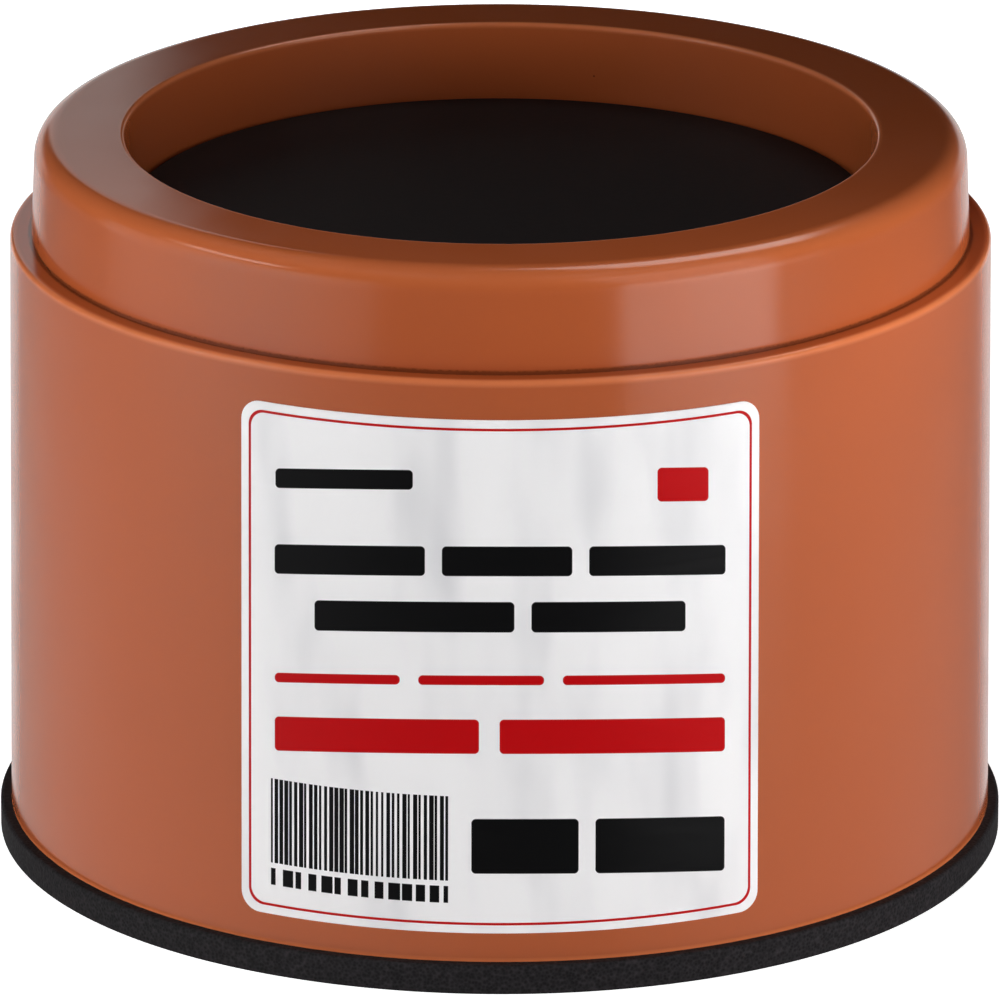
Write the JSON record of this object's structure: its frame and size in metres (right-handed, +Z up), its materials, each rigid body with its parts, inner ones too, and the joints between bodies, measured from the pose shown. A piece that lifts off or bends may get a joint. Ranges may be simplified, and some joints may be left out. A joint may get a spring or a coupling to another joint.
{
  "type": "bed riser",
  "caption": "Round moulded bed riser with a padded cup for a furniture leg, a ribbed hollow underside, a foam foot ring and a curved front label.",
  "frame": {"origin": "centre of the foot ring's underside, on the floor", "axes": "+Z up along the riser's axis, -Y out of the label, +X to the right of someone who faces the label"},
  "size_m": [0.1187, 0.1188, 0.0854],
  "materials": {
    "body_plastic": "satin",
    "pad_foam": "matte",
    "foot_rubber": "matte",
    "label_paper": "satin"
  },
  "bodies": {
    "root": {"riser_body": "body_plastic", "grip_pad": "pad_foam", "foot_ring": "foot_rubber", "label": "label_paper"}
  },
  "joints": []
}
